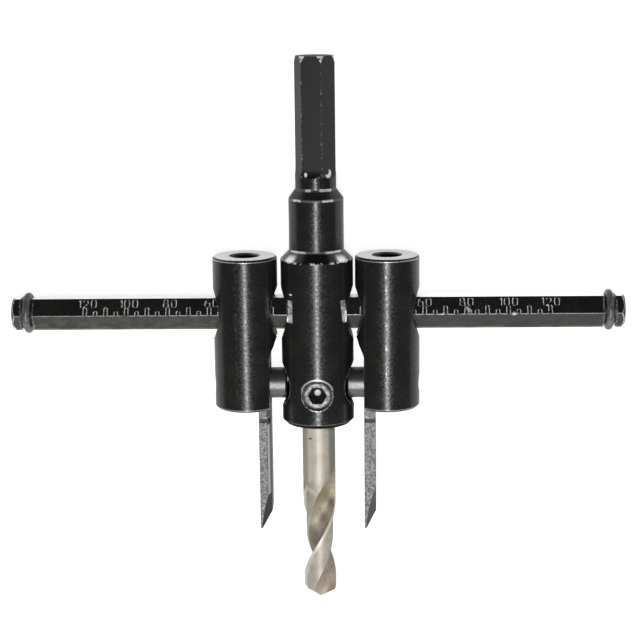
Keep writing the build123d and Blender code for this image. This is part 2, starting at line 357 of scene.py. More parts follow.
# A stripe down each holder's front, partly a scratch and partly its painted highlight.
holder_highlight_place = {"left": -1.9, "right": -0.4}
holder_highlight_strength = {"left": 0.1, "right": 0.75}
# Radius within which the holder's thread crests get painted light.
holder_lit_thread_radius = 3.7
drill_shank_start = -43.0
drill_margin_end = -45.0
# Place across of the painted highlight stripe on the drill's shank.
drill_highlight_stripe_place = -2.2
drill_fleck = ((-2.0, -31.1), (0.5, 0.24))

# Nicks on the bar's front: place along it, height, half length and width, lean in degrees, colour
bar_nicks = (
    (47.2, 0.05, 0.5, 0.42, 0.0, grey(250)),
    (30.3, 0.15, 0.5, 0.2, 35.0, grey(250)),
    (36.4, 0.95, 0.95, 0.4, -38.0, rgb(235, 214, 208)),
)

# Stains in the drill's flutes: place across, height, radius, colour
drill_stains = (
    (1.3, -45.8, 1.1, rgb(146, 134, 90)),
    (2.8, -48.0, 1.1, rgb(92, 76, 62)),
    (0.6, -51.4, 0.9, rgb(104, 86, 70)),
    (-2.3, -57.4, 2.0, rgb(88, 82, 52)),
    (2.4, -71.0, 1.2, rgb(160, 132, 112)),
)


# Finishes
def cover(shader, below, mask, colour, roughness, metallic):
    """Finish that turns into another one where mask is 1."""
    return {
        "Base Color": shader.mix(mask, below["Base Color"], colour),
        "Roughness": below["Roughness"] + mask * (roughness - below["Roughness"]),
        "Metallic": below["Metallic"] + mask * (metallic - below["Metallic"]),
        "Normal": below["Normal"],
    }


def black_oxide(shader, position, base=rgb(25, 26, 24), light=rgb(33, 34, 31)):
    """Grainy black finish for any blackened part."""
    grain = shader.noise(position, 1.8, 3.0, 0.8)
    patches = shader.noise(position, 0.22, 3.0, 0.5)
    colour = shader.mix(patches.ramp(0.35, 0.7), base, light)
    roughness = 0.17 + 0.05 * patches + 0.17 * grain.ramp(0.4, 0.62)
    return {
        "Base Color": colour,
        "Roughness": roughness,
        "Metallic": 0.0,
        "Normal": shader.bump(grain, 0.015),
    }


def radius(across, forward):
    """Distance from an axis, from the two coordinates across it."""
    return (across * across + forward * forward) ** 0.5


def mouth_rim(x, y, z, mouth_radius, surface_radius):
    """1 on the edge between a round part and the ninety-degree mouth of the bar's hole in it."""
    cone = mouth_radius - surface_radius + abs(x)
    on_cone = (radius(y, z) - cone).near(0.0, 0.1, 0.12)
    return on_cone * radius(x, z).ramp(surface_radius - 0.14, surface_radius - 0.05)


def ellipse(x, y, place, half_size, edge=1.1):
    """1 inside an ellipse, falling to 0 at edge times its half sizes."""
    return radius((x - place[0]) / half_size[0], (y - place[1]) / half_size[1]).ramp(edge, 0.8)


def dashes(x, places, level):
    """1 at two dashes along a corner and level beside them."""
    first, second = (x.near(place, half_width, 0.3) for place, half_width in places)
    return level + (1.0 - level) * first.either(second)


def shoulder_wear(shader, finish, x, y, r, fine):
    """Smooth shoulder with a painted glint on either side."""
    shoulder = y.ramp(body_top - 0.15, body_top + 0.1) * y.ramp(shoulder_top + 0.1, shoulder_top - 0.1)
    finish = cover(shader, finish, shoulder, grey(22), 0.15, 0.0)
    # Painted reflection: white metal patches at both sides of the shoulder, where the floor shows in it.
    glint = shoulder * (abs(x) / r).near(0.75, 0.05, 0.14) * y.ramp(shoulder_top, body_top + 0.6)
    return cover(shader, finish, glint * fine.ramp(0.2, 0.42), grey(255), 0.25, 0.75)


def corner_wear(shader, finish, x, y, r, fine, coarse):
    """Bare, worn corners of the body, the collar and the neck, with painted highlights on some of them, and a
    dull foot.
    """
    aside = abs(x) / r
    low_corner = r.near(body_radius - 0.1, 0.12, 0.08) * y.near(body_top, 0.15, 0.15) * coarse.ramp(0.5, 0.6)
    # Painted highlight along the corner where the shoulder meets the collar, faint in front and bright at the
    # sides.
    high_corner = y.near(shoulder_top + 0.1, 0.2, 0.1) * r.ramp(collar_radius + 0.3, collar_radius + 0.1)
    high_corner = high_corner * (0.12 + 0.88 * aside.ramp(0.3, 0.45) * aside.ramp(0.95, 0.85))
    # The collar's and the neck's upper corners are worn lines with painted highlight dashes at the sides.
    collar_corner = y.near(neck_span[0] - 0.05, 0.2, 0.12) * r.ramp(collar_radius - 0.3, collar_radius - 0.15)
    collar_corner = collar_corner * dashes(x, collar_highlight_dashes, 0.12)
    neck_corner = y.near(neck_span[1] - 0.05, 0.22, 0.14) * r.ramp(shank_radius - 0.15, shank_radius)
    neck_corner = neck_corner * dashes(x, neck_highlight_dashes, 0.1)
    foot_top = body_bottom + body_edge
    finish = cover(shader, finish, y.ramp(foot_top, foot_top - 0.1), grey(12), 0.6, 1.0)
    foot_corner = y.near(foot_top, 0.1, 0.1) * r.ramp(body_radius - 0.1, body_radius - 0.03) * 0.15
    rims = low_corner.either(high_corner).either(collar_corner).either(neck_corner).either(foot_corner)
    return cover(shader, finish, rims * fine.ramp(0.3, 0.5), grey(245), 0.35, 0.4)


def shank_wear(shader, finish, x, y, z, r, fine, coarse):
    """Hexagon with worn corners that also carry painted highlight lines, a nick, and painted highlights:
    bright tips on its chamfer and bright crescents where its flats run out.
    """
    on_hexagon = y.ramp(flat_end, flat_end + 0.6)
    finish = cover(shader, finish, on_hexagon, rgb(18, 19, 17), 0.36, 0.0)
    # Hexagon corners: partly wear and partly painted highlight lines of their rounded edges.
    corners = r.ramp(*hexagon_corner_wear_and_highlights) * on_hexagon * fine.ramp(0.5, 0.72)
    # Painted highlight: bright tips where the chamfer cuts the hexagon's corners.
    cone = shank_radius - (y - (shank_top - shank_edge * shank_edge_slope)) / shank_edge_slope
    tip = (r - cone).near(0.0, 0.02, 0.03) * y.ramp(shank_top - 1.7, shank_top - 1.3) * coarse.ramp(0.3, 0.5)
    # Painted highlights: crescents where the flats run out.
    right = ellipse(x, y, *right_crescent_highlight) * (1.0 - ellipse(x, y, *right_crescent_highlight_hollow))
    left = ellipse(x, y, *left_crescent_highlight, 1.2)
    spots = right.either(left).either(ellipse(x, y, *body_nick, 1.2)) * (z > 0.0)
    finish = cover(shader, finish, 0.7 * corners, grey(185), 0.38, 0.6)
    bright = tip.either(spots) * coarse.either(spots).ramp(0.3, 0.45)
    return cover(shader, finish, bright, grey(255), 0.4, 0.3)


def hole_wear(shader, finish, x, y, z, fine):
    """Bare edges round the drill's screw, the recesses and the mouth of the bar's hole, and painted shade in
    the recesses.
    """
    screw_radius = radius(x, y - drill_screw_height)
    above_screw = (y - drill_screw_height).ramp(0.5, 2.0)
    rim_place = mean_thread_radius + 0.1 + 0.3 * above_screw
    rim = (screw_radius - rim_place).near(0.0, 0.12, 0.15) * (z > 0.0)
    rim = rim * fine.either(above_screw).ramp(0.42, 0.58)
    recess_radius = radius(z, y - clamp_height)
    # Painted shade: the recesses' walls are near black.
    within = recess_radius.ramp(clamp_recess_radius + 0.08, clamp_recess_radius + 0.02)
    finish = cover(shader, finish, within * abs(x).ramp(3.0, 3.5), grey(4), 0.75, 1.0)
    recess_edge = recess_radius.near(clamp_recess_radius + 0.05, 0.08, 0.12) * abs(x).ramp(6.4, 6.7)
    recess_edge = recess_edge * fine.ramp(0.42, 0.6)
    mouth = mouth_rim(x, y, z, body_mouth_radius, body_radius) * fine.ramp(0.45, 0.65)
    edges = (0.8 * rim).either(0.6 * recess_edge).either(0.4 * mouth)
    return cover(shader, finish, edges, bare_steel, 0.4, 0.6)


def stake_marks(shader, finish, x, y, z, r, fine, coarse):
    """Painted reflection of the bar and the holder on the body beside the bar's hole, as patches of bare
    steel. The left one is ragged and crossed by a dark line, and the right one leans.
    """
    on_left = x < 0.0
    inward = abs(x) * math.sin(reflection_patch_angle) + z * math.cos(reflection_patch_angle)
    across = abs(x) * math.cos(reflection_patch_angle) - z * math.sin(reflection_patch_angle)
    leaning = across - right_reflection_patch_shift + right_reflection_patch_lean * (y - reflection_patch_place)
    right_width = leaning.near(0.0, right_reflection_patch_half_width, 0.1) * (1.0 - on_left)
    width = across.near(0.0, reflection_patch_half[0], 0.06) * on_left + right_width
    # Painted reflection: the patch where the bar and the holder mirror in the body.
    reflection_patch = width * y.near(reflection_patch_place, reflection_patch_half[1], 0.06)
    reflection_patch = reflection_patch * r.ramp(body_radius - 0.005, body_radius - 0.03) * inward.ramp(7.9, 8.2)
    dark_line = (y - 0.5 * across).near(reflection_patch_place + 0.75, 0.12, 0.2) * on_left
    ragged = (1.0 - on_left).either((1.25 - across - 1.1 * fine).ramp(-0.35, 0.0))
    steel = shader.mix(coarse.ramp(0.35, 0.65), grey(150), grey(250))
    bare = reflection_patch * ragged.either(y < 0.0) * (1.0 - 0.85 * dark_line)
    return cover(shader, finish, bare, steel, 0.45, 0.45)


def body_finish():
    """Blackened body and shank, bare along worn edges, with painted highlights, painted reflections beside
    the bar's hole and painted shade in the recesses.
    """
    material = bpy.data.materials.new("body_black_oxide")
    shader = Shader(material)
    position = shader.tool_position()
    x, y, z = shader.split(position)
    r = radius(x, z)
    fine = shader.noise(position, 1.7, 4.0, 0.7)
    coarse = shader.noise(position, 0.7, 2.0, 0.5)
    finish = black_oxide(shader, position)
    finish = shoulder_wear(shader, finish, x, y, r, fine)
    finish = corner_wear(shader, finish, x, y, r, fine, coarse)
    finish = shank_wear(shader, finish, x, y, z, r, fine, coarse)
    finish = hole_wear(shader, finish, x, y, z, fine)
    finish = stake_marks(shader, finish, x, y, z, r, fine, coarse)
    shader.surface({"IOR": 1.45}, finish)
    return material


def holder_finish(side):
    """Blackened holder with a bare top, threads in its screw hole, worn rims, a stripe that is partly a
    scratch and partly a painted highlight, and painted light on the thread crests.
    """
    material = bpy.data.materials.new(f"{side}_holder_black_oxide")
    shader = Shader(material)
    position = shader.tool_position()
    x, y, z = shader.split(position)
    x = x - holder_x[side]
    r = radius(x, z)
    finish = black_oxide(shader, position)
    fine = shader.noise(position, 1.9, 4.0, 0.7)
    coarse = shader.noise(position, 0.5, 2.0, 0.5)

    top = y.ramp(holder_top - 0.04, holder_top - 0.02) * r.ramp(mean_thread_radius, mean_thread_radius + 0.1)
    shade = shader.mix(fine.ramp(0.3, 0.7), grey(222), grey(246))
    finish = cover(shader, finish, top, shade, 0.3, 1.0)
    outside = r.ramp(holder_radius - 0.12, holder_radius - 0.05)
    rim = y.near(holder_top - holder_edge, 0.08, 0.08) * outside
    low_rim = y.near(holder_bottom + holder_edge, 0.08, 0.1) * outside
    hole_rim = r.near(mean_thread_radius + 0.08, 0.08, 0.08) * y.ramp(holder_top - 0.5, holder_top - 0.3)
    bore = mouth_rim(x, y, z, holder_mouth_radius, holder_radius) * fine.ramp(0.45, 0.6)
    worn = (rim * fine.ramp(0.3, 0.5)).either(0.45 * low_rim).either(0.6 * hole_rim).either(0.5 * bore)
    finish = cover(shader, finish, worn, bare_steel, 0.4, 0.7)

    # Partly a scratch and partly the painted core of the holder's highlight, strong on the right holder.
    wander = 0.5 * (shader.noise(position, 0.35, 2.0, 0.5, (0.0, 1.0, 0.0)) - 0.5)
    streak = (x - holder_highlight_place[side] + wander).near(0.0, 0.05, 0.22) * (z > 0.0)
    streak = streak * shader.noise(position, 1.3, 3.0, 0.7, (1.0, 0.6, 1.0)).ramp(0.5, 0.68)
    finish = cover(shader, finish, streak * holder_highlight_strength[side], grey(235), 0.4, 0.4)

    angle = shader.math("ARCTAN2", x, z)
    turns = y / holder_thread_pitch + angle / (2 * math.pi)
    crest = abs(shader.math("FRACT", turns) - 0.5) * 2.0
    thread = crest * r.ramp(mean_thread_radius + 0.25, mean_thread_radius + 0.15)
    finish["Normal"] = shader.bump(thread, 0.6, normal=finish["Normal"])
    # Painted light on the thread crests deep in the screw hole.
    painted_lit_thread = r.ramp(holder_lit_thread_radius + 0.05, holder_lit_thread_radius) * crest.ramp(0.6, 0.9)
    finish = cover(shader, finish, painted_lit_thread * 0.5, grey(150), 0.35, 0.7)
    shader.surface({"IOR": 1.45}, finish)
    return material


def bar_finish():
    """Blackened bar: bare top flat, front corner worn and with a painted highlight line, nicks, a grey lower
    front face of painted reflection, and an olive lower edge.
    """
    material = bpy.data.materials.new("bar_black_oxide")
    shader = Shader(material)
    position = shader.tool_position()
    x, y, z = shader.split(position)
    finish = black_oxide(shader, position)
    fine = shader.noise(position, 1.6, 4.0, 0.7)
    long_noise = shader.noise(position, 0.9, 3.0, 0.6, (0.25, 1.0, 1.0))

    # Painted reflection on the lower front face: blotched grey, paler on the left arm than the right and
    # towards the lower edge.
    low_front = y.ramp(0.1, -0.1) * z.ramp(1.5, 2.0)
    blotch = shader.noise(position, 0.5, 4.0, 0.7, (0.6, 1.0, 1.0))
    arm_reflection_tone = shader.mix(x.ramp(-10.0, 10.0), rgb(68, 67, 58), rgb(46, 46, 42))
    reflection_tint = shader.mix(blotch.ramp(0.35, 0.65), rgb(12, 12, 12), arm_reflection_tone)
    low_front = low_front * (0.4 + 0.45 * y.ramp(-0.6, -2.8))
    finish = cover(shader, finish, low_front, reflection_tint, 0.36, 0.0)
    low_edge = y.ramp(-3.2, -3.75) * z.ramp(1.9, 2.1)
    finish = cover(shader, finish, low_edge * long_noise.ramp(0.3, 0.6), rgb(112, 112, 92), 0.4, 0.3)

    top = y.ramp(bar_half_flats - 0.06, bar_half_flats - 0.03)
    steel = shader.mix(long_noise.ramp(0.3, 0.7), grey(240), grey(255))
    finish = cover(shader, finish, top, steel, 0.25, 1.0)

    # The front corner is partly worn bare and partly a painted highlight line.
    corner = abs(y).ramp(0.16, 0.06) * z.ramp(bar_corner - 0.5, bar_corner - 0.3) * long_noise.ramp(0.3, 0.5)
    end_place = bar_half_length - abs(x)
    cone = bar_corner - (bar_end_edge - end_place).either(0.0)
    axis_distance = radius(y, z)
    slanted = (abs(y) * 0.5 + abs(z) * math.sqrt(0.75)).either(abs(y))
    on_flat = slanted.ramp(bar_half_flats - 0.14, bar_half_flats - 0.05)
    end_edge = end_place.ramp(1.0, 0.85) * (cone - axis_distance).near(0.0, 0.1, 0.08) * on_flat
    end_edge = end_edge * fine.ramp(0.35, 0.55)
    groove_side = abs(end_place - ring_inset) - groove_width / 2
    groove_edge = groove_side.near(0.1, 0.1, 0.1) * fine.ramp(0.42, 0.6)
    worn = (0.42 * corner).either(end_edge).either(0.45 * groove_edge)
    finish = cover(shader, finish, worn, bare_steel, 0.38, 0.6)

    for place, height, length, width, lean, colour in bar_nicks:
        turn = math.radians(lean)
        along = (x - place) * math.cos(turn) + (y - height) * math.sin(turn)
        across = (y - height) * math.cos(turn) - (x - place) * math.sin(turn)
        spot = radius(along / length, across / width)
        nick = (spot - 0.7 - 0.6 * fine).ramp(0.08, -0.08) * (z > 0.0)
        finish = cover(shader, finish, nick, shader.mix(fine, rgb(150, 140, 138), colour), 0.45, 0.3)
    shader.surface({"IOR": 1.45}, finish)
    return material


def screw_finish(name):
    """Black oxide rubbed to grey steel by the key and the handling."""
    material = bpy.data.materials.new(f"{name}_oxide")
    shader = Shader(material)
    position = shader.tool_position()
    finish = black_oxide(shader, position, grey(30), grey(40))
    fine = shader.noise(position, 2.2, 4.0, 0.7)
    finish = cover(shader, finish, 0.6 + 0.3 * fine.ramp(0.35, 0.7), grey(112), 0.4, 1.0)
    finish["Normal"] = shader.bump(fine, 0.002)
    shader.surface({"IOR": 1.5}, finish)
    return material


def drill_screw_finish():
    """Black set screw whose face is scratched round its socket."""
    material = bpy.data.materials.new("drill_lock_screw_oxide")
    shader = Shader(material)
    position = shader.tool_position()
    x, y, z = shader.split(position)
    finish = black_oxide(shader, position, grey(34), grey(52))
    r = radius(x, y - drill_screw_height)
    turned = shader.noise(shader.node("ShaderNodeCombineXYZ", inputs={0: r}), 5.0, 3.0, 0.7)
    fine = shader.noise(position, 1.0, 3.0, 0.6)
    face = tool_span("drill_lock_screw", 2)[1]
    scratches = z.ramp(face - 1.2, face - 0.9) * turned.ramp(0.4, 0.55) * (0.35 + 0.65 * fine.ramp(0.4, 0.6))
    socket_end = z.ramp(face - 2.2, face - 2.5) * r.ramp(0.9, 0.6)
    finish["Normal"] = shader.bump(turned, 0.04)
    finish = cover(shader, finish, 0.7 * scratches, grey(190), 0.4, 0.4)
    finish = cover(shader, finish, socket_end, grey(245), 0.5, 0.2)
    shader.surface({"IOR": 1.35}, finish)
    return material


def blade_finish(side):
    """Grey hardened cutter with mottled skin. Its ground facets, side edges and index notch are darkened as
    painted shade, the strip under the holder carries the holder's painted shadow with light blotches, and its
    bevel is a painted highlight.
    """
    material = bpy.data.materials.new(f"{side}_blade_steel")
    shader = Shader(material)
    position = shader.tool_position()
    x, y, z = shader.split(position)
    grain = shader.noise(position, 1.7, 4.0, 0.85)
    colour = shader.mix(grain.ramp(0.4, 0.62), grey(72), grey(152))
    finish = {
        "Base Color": colour,
        "Roughness": 0.5 + 0.1 * grain,
        "Metallic": 0.25,
        "Normal": shader.bump(grain, 0.02),
    }
    wheel = blade_wheel(side)
    across = (x - wheel["x"]) * math.cos(wheel["tilt"]) + (z - wheel["z"]) * math.sin(wheel["tilt"])
    ground = radius(across, y - wheel["y"]).ramp(wheel["radius"] + 0.05, wheel["radius"] + 0.02)
    # Painted shade: the ground facets are dark grey.
    finish = cover(shader, finish, ground, shader.mix(grain, grey(52), grey(74)), 0.42, 0.35)
    # Painted shadow of the holder on the strip just under it, mottled with light and dark blotches.
    holder_shadow_band = y.ramp(index_height - 0.3, index_height + 0.2)
    finish = cover(shader, finish, holder_shadow_band * grain.ramp(0.5, 0.58), grey(60), 0.4, 0.3)
    finish = cover(shader, finish, holder_shadow_band * grain.ramp(0.45, 0.38), grey(190), 0.4, 0.3)
    half_depth = tool_span(f"{side}_blade", 2)[1]
    # Painted shade in the index notch.
    notch = y.near(index_height, 0.45, 0.15) * abs(z).ramp(half_depth - 0.02, half_depth - 0.08)
    finish = cover(shader, finish, notch, grey(26), 0.5, 0.2)
    low, high = tool_span(f"{side}_blade", 0)
    # Painted shade along the side edges, and along the line of the left cutter's bevel.
    arris = (x - low).ramp(0.2, 0.06).either((high - x).ramp(0.2, 0.06))
    arris = arris.either((high - x).near(blade_side_edge, 0.03, 0.09) * (z > 0.0) * float(side == "left"))
    finish = cover(shader, finish, arris * (1.0 - ground) * 0.8, grey(48), 0.5, 0.2)
    # Painted highlight on the bevel, paler away from the outer edge.
    bevel = (high - x + half_depth - z).near(blade_side_edge, 0.03, 0.05) * (high - x).near(0.45, 0.3, 0.12)
    bevel_highlight_colour = shader.mix((high - x).ramp(0.28, 0.42), grey(135), grey(205))
    finish = cover(shader, finish, bevel * (1.0 - ground) * (y < index_height - 1.0), bevel_highlight_colour, 0.4, 0.3)
    shader.surface({}, finish)
    return material


def drill_finish():
    """Ground straw steel: bright margins, brown and olive stains in the flutes, streaks along the shank, a
    painted highlight stripe down its left side, and painted shade down its right side and under the body.
    """
    material = bpy.data.materials.new("drill_steel")
    shader = Shader(material)
    position = shader.tool_position()
    x, y, z = shader.split(position)
    r = radius(x, z)
    half_turns = shader.math("ARCTAN2", x, z) / math.pi - (y - drill_margin_height) * (2 / drill_lead)
    behind_margin = shader.math("FRACT", half_turns) * 180.0
    grain = shader.noise(position, 1.1, 4.0, 0.8)
    clouds = shader.noise(position, 0.35, 3.0, 0.5)
    colour = shader.mix(clouds.ramp(0.35, 0.65), rgb(174, 166, 152), rgb(190, 183, 170))

    on_shank = y.ramp(drill_shank_start, drill_shank_start + 2.0)
    streaks = shader.noise(position, 1.1, 3.0, 0.6, (1.0, 0.03, 1.0)).ramp(0.35, 0.65)
    colour = shader.mix(on_shank * streaks * 0.45, colour, rgb(206, 198, 184))
    # Painted highlight: a bright stripe down the left of the shank.
    colour = shader.mix(on_shank * x.near(drill_highlight_stripe_place, 0.2, 0.4) * 0.55, colour, rgb(222, 212, 196))
    # Painted shade: darker and greener down the right of the shank.
    shade = x.ramp(2.2, 2.7) * (z > 0.0) * y.ramp(-46.0, -43.0)
    colour = shader.mix(shade * 0.75, colour, rgb(140, 143, 126))
    # Painted shade under the body, on the drill's right side.
    shade_under_body = x.ramp(0.8, 3.0) * (z > 0.0) * y.ramp(body_bottom - 2.2, body_bottom - 1.0)
    colour = shader.mix(shade_under_body * 0.7, colour, rgb(84, 80, 60))
    fleck = ellipse(x, y, *drill_fleck) * (z > 0.0)
    colour = shader.mix(fleck * 0.85, colour, rgb(66, 56, 44))

    behind_land = behind_margin.ramp(drill_land_angle - 2.0, drill_land_angle)
    in_flute = behind_land.either(behind_margin.ramp(2.5, 1.5))
    in_flute = in_flute * r.ramp(drill_radius - 0.02, drill_radius - 0.1)
    flute_colour = shader.mix(grain.ramp(0.35, 0.65), rgb(152, 140, 122), rgb(180, 170, 152))
    colour = shader.mix(in_flute * 0.8, colour, flute_colour)
    blotches = shader.noise(position, 0.8, 4.0, 0.7)
    for place, height, size, stain in drill_stains:
        spot = radius(x - place, (y - height) * 0.7) + 2.2 * (blotches - 0.5)
        stained = in_flute * spot.ramp(size + 1.0, size - 1.0) * z.ramp(-2.5, -2.0)
        colour = shader.mix(stained * 0.7, colour, stain)
    margin = (behind_margin - drill_margin_angle / 2).near(0.0, drill_margin_angle / 2, 2.5)
    margin = margin * y.ramp(drill_margin_end + 1.0, drill_margin_end - 1.0)
    margin = margin * r.ramp(drill_radius - 0.2, drill_radius - 0.1)
    colour = shader.mix(margin * 0.75, colour, rgb(228, 222, 204))
    finish = {
        "Base Color": colour,
        "Roughness": 0.42 + 0.16 * grain,
        "Metallic": 0.22,
        "Normal": shader.bump(grain, 0.045),
    }
    shader.surface({}, finish)
    return material


def rubber_finish():
    """Oily black rubber."""
    material = bpy.data.materials.new("ring_rubber")
    shader = Shader(material)
    position = shader.tool_position()
    grain = shader.noise(position, 0.8, 3.0, 0.6, (2.0, 1.0, 1.0))
    colour = shader.mix(grain.ramp(0.3, 0.7), grey(66), grey(112))
    varying = {"Base Color": colour, "Roughness": 0.24 + 0.2 * grain, "Normal": shader.bump(grain, 0.05)}
    shader.surface({"IOR": 1.5}, varying)
    return material


def mark_finish():
    """Stamped edges: black between patches of bare steel, partly wear and partly painted glints of the
    stamped walls, which upright strokes show most.
    """
    material = bpy.data.materials.new("scale_mark_edges")
    shader = Shader(material)
    position = shader.tool_position()
    upright = shader.node("ShaderNodeAttribute", {"attribute_name": "upright"}, output="Fac")
    finish = black_oxide(shader, position)
    patches = shader.noise(position, 1.5, 3.0, 0.8)
    # Upright strokes get more bare steel: painted glint of their side walls.
    bare = (patches + 0.3 * upright).ramp(0.64, 0.8)
    finish = cover(shader, finish, bare, grey(250), 0.4, 0.3)
    shader.surface({"IOR": 1.45}, finish)
    return material


# Added pieces
def add_mesh(name, body, material, vertices, faces, attributes=None):
    """A piece from tool-frame points that rides on a CAD body."""
    mesh = bpy.data.meshes.new(name)
    mesh.from_pydata(((vertices + origin) / 1000).tolist(), [], [tuple(face) for face in faces])
    for key, values in (attributes or {}).items():
        mesh.attributes.new(key, "FLOAT", "POINT").data.foreach_set("value", np.asarray(values, float))
    mesh.materials.append(material)
    obj = bpy.data.objects.new(name, mesh)
    bpy.context.scene.collection.objects.link(obj)
    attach(obj, body)
    return obj


def ring_faces(rings, columns, closed=False):
    """Quads between neighbouring rings of points, with lids on the first and last ring unless those meet."""
    row, k = np.meshgrid(np.arange(rings if closed else rings - 1), np.arange(columns), indexing="ij")
    below, above, after = row * columns, (row + 1) % rings * columns, (k + 1) % columns
    corners = [below + k, below + after, above + after, above + k]
    faces = np.stack(corners, 2).reshape(-1, 4).tolist()
    if closed:
        return faces
    last = (rings - 1) * columns
    return faces + [list(range(columns))[::-1], list(range(last, last + columns))]


# Pilot drill, whose flutes narrow as they run out on its shank
drill_web_radius = 1.2
drill_run_out_start = -47.6
drill_run_out_end = -40.0
drill_run_out_turn = 0.35
drill_clearance = 0.7
drill_clearance_start = -43.0
drill_clearance_run = 1.4
drill_clearance_fall = 1.7
drill_point_half_angle = math.radians(59.0)
drill_point_relief = 0.9
drill_top_edge = 0.5


def flute_surface(height, behind_margin):
    """Radius of the flute's floor at some degrees behind a margin, infinite beside the flute.

    The section is a circle that reaches in to the web and out to the drill's radius at both
    sides of the flute. Above the run-out's start its centre moves outward along the arc of the
    grinding wheel, and its turn falls behind the helix.
    """
    half_angle = math.radians(90.0 - drill_land_angle / 2)
    web = drill_web_radius
    centre = (drill_radius**2 - web**2) / (2 * (drill_radius * math.cos(half_angle) - web))
    section_radius = centre - web
    depth, length = drill_radius - web, drill_run_out_end - drill_run_out_start
    wheel = (depth**2 + length**2) / (2 * depth)
    run = np.clip(height - drill_run_out_start, 0.0, wheel)
    centre = centre + wheel - np.sqrt(wheel**2 - run**2)
    flute_middle = 90.0 + drill_land_angle / 2 - drill_run_out_turn * run * 360 / drill_lead
    away = np.radians(np.mod(behind_margin - flute_middle + 90.0, 180.0) - 90.0)
    under = section_radius**2 - (centre * np.sin(away)) ** 2
    return np.where(under > 0, centre * np.cos(away) - np.sqrt(np.maximum(under, 0)), np.inf)


def drill_section_radius(height, angle):
    """Radius of the drill's surface at a height and an angle about its axis, in degrees.

    It is the least of four: the body less its clearance behind the margin, the flute, the
    point's cone, which rises behind each lip by the relief, and the chamfer at the top.
    """
    behind_margin = np.mod(angle - (height - drill_margin_height) * 360 / drill_lead, 180.0)
    start = drill_clearance_start - drill_clearance_fall * behind_margin / drill_land_angle
    cleared = drill_clearance * np.clip((start - height) / drill_clearance_run, 0.0, 1.0)
    beside_margin = (behind_margin > drill_margin_angle) & (behind_margin < 90.0 + drill_land_angle / 2)
    body = drill_radius - np.where(beside_margin, cleared, 0.0)
    to_next_lip = (180.0 - behind_margin) / (180.0 - drill_land_angle)
    rise = np.minimum(behind_margin / drill_land_angle, to_next_lip) * drill_point_relief / drill_radius
    point = (height - drill_tip) / (1 / math.tan(drill_point_half_angle) + rise)
    chamfer = drill_radius - drill_top_edge + drill_top - height
    flute = flute_surface(height, behind_margin)
    return np.minimum.reduce(np.broadcast_arrays(body, flute, point, chamfer))


def pilot_drill():
    """Closed surface of rings about the drill's axis, which turn with its helix."""
    columns, fluted_rows = 240, 190
    fluted = np.linspace(drill_tip + 0.02, drill_run_out_end + 0.2, fluted_rows)
    heights = np.concatenate([fluted, [drill_top - drill_top_edge, drill_top]])[:, None]
    angles = np.arange(columns) * 360 / columns + np.minimum(heights, fluted[-1]) * 360 / drill_lead
    r = drill_section_radius(heights, angles)
    turn = np.radians(angles)
    grid = np.stack([r * np.sin(turn), np.broadcast_to(heights, r.shape), r * np.cos(turn)], 2)
    points = grid.reshape(-1, 3)
    faces = ring_faces(len(heights), columns)
    obj = add_mesh("pilot_drill_fluted", "pilot", drill_finish(), points, faces)
    obj.data.shade_smooth()
    obj.data.set_sharp_from_angle(angle=math.radians(25.0))
    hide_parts("pilot_drill")


# Rear of the body's two recesses, which the clamp screws' heads dip into
recess_back_bore = 4.3
recess_back_start = math.radians(-55.0)
recess_back_end = math.radians(35.0)
recess_floor_gap = 0.8
recess_back_sink = 0.05
recess_back_steps = 32


def recess_backs():
    """Closes each recess at the rear, with part of a ring about the clamp screws' axis.

    Along X the ring reaches from the recess's floor out to the body's own cylinder, so nothing shows through
    between a clamp screw's head and the body.
    """
    material = frame["nodes"]["arbor_body"].data.materials[0]
    head_end = min(abs(tool_span("left_blade_screw", 0)[1]), abs(tool_span("right_blade_screw", 0)[0]))
    turn = np.linspace(recess_back_start, recess_back_end, recess_back_steps)[:, None]
    outer = clamp_recess_radius + recess_back_sink
    ring = np.array([recess_back_bore, outer, outer, recess_back_bore])
    height = clamp_height + ring * np.sin(turn)
    depth = -ring * np.cos(turn)
    outward = np.sqrt((body_radius - recess_back_sink) ** 2 - depth**2)
    outward[:, :2] = head_end - recess_floor_gap - recess_back_sink
    faces = ring_faces(recess_back_steps, len(ring))
    for name, side in (("left", -1), ("right", 1)):
        points = np.stack([side * outward, height, depth], 2).reshape(-1, 3)
        turned = [face[::-side] for face in faces]
        add_mesh(f"{name}_recess_back", "arbor", material, points, turned)


# Scale numbers and mark edges, drawn on the bar's upper front face
reading_edge = 6.5
scale_first = 30
scale_last = 120
scale_step = 5
number_step = 20
first_number = 40
tick_long = 2.1
tick_short = 1.15
tick_half_width = 0.375
tick_start = 0.16
edge_half_width = 0.1
edge_rise = 0.05
edge_sink = 0.05
number_base = 2.15
number_height = 1.9
number_width = 1.15
number_advance = 1.95
one_advance = 1.25
stroke_half_width = 0.11
left_number_shift = 0.5

# Section of a raised edge: shares of its half width, and heights over the face
edge_across = (-1.0, -1.0, -0.45, 0.45, 1.0, 1.0)
edge_heights = (-edge_sink, 0.35 * edge_rise, edge_rise, edge_rise, 0.35 * edge_rise, -edge_sink)


def loop(centre, size, squareness=3.6, steps=20):
    """Closed rounded box as a superellipse: the powers of both coordinates add up to one."""
    turn = np.linspace(0, 2 * math.pi, steps, endpoint=False)
    across, up = np.cos(turn), np.sin(turn)
    power = 2 / squareness
    points = np.stack([np.sign(across) * abs(across) ** power, np.sign(up) * abs(up) ** power], 1)
    return np.array(centre) + points * np.array(size), True


def line(*points):
    """Straight stretches from point to point."""
    return np.array(points, float), False


def bend(centre, size, start, end, *then):
    """Elliptic arc from start to end degrees, and straight on through more points."""
    turn = np.radians(np.linspace(start, end, 8))
    arc = np.array(centre) + np.stack([np.cos(turn), np.sin(turn)], 1) * np.array(size)
    return np.vstack([arc, *[[point] for point in then]]), False


